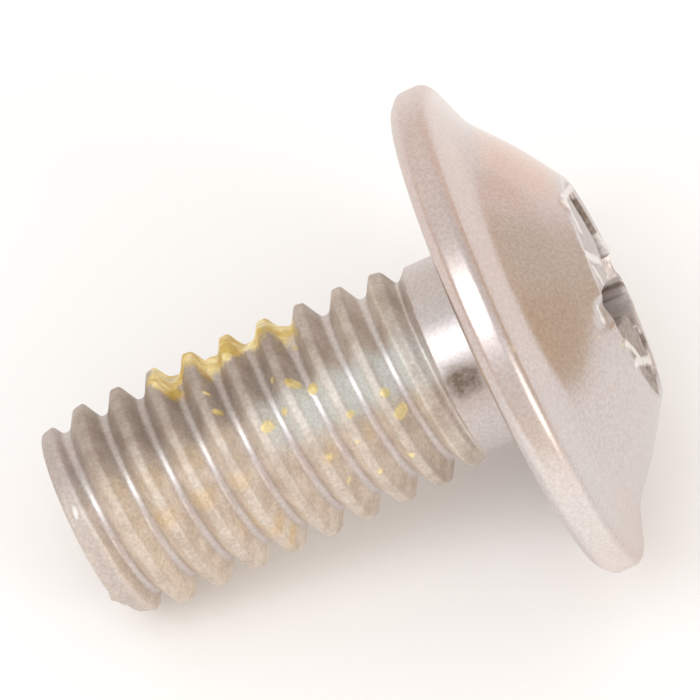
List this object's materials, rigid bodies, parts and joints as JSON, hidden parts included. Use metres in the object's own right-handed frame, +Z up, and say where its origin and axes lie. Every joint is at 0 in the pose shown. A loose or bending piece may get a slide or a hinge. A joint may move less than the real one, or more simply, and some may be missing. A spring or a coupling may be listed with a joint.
{
  "type": "screw",
  "caption": "Short machine screw with a wide washer-like flange, a cone-shaped head with a cross recess, a right-hand thread and a blunt end.",
  "frame": {"origin": "on the ground under the middle of the screw as it lies on its flange's rim and its blunt end", "axes": "+X runs level from the blunt end towards the head, +Z is up, and the screw's axis lies in the XZ plane, rising 19 degrees towards the head"},
  "size_m": [0.0106, 0.009, 0.0086],
  "materials": {
    "plated_steel": "bright nickel plating over cold-formed steel, slightly worn, with traces of yellow thread coating"
  },
  "bodies": {
    "root": {"screw": "plated_steel"}
  },
  "joints": []
}
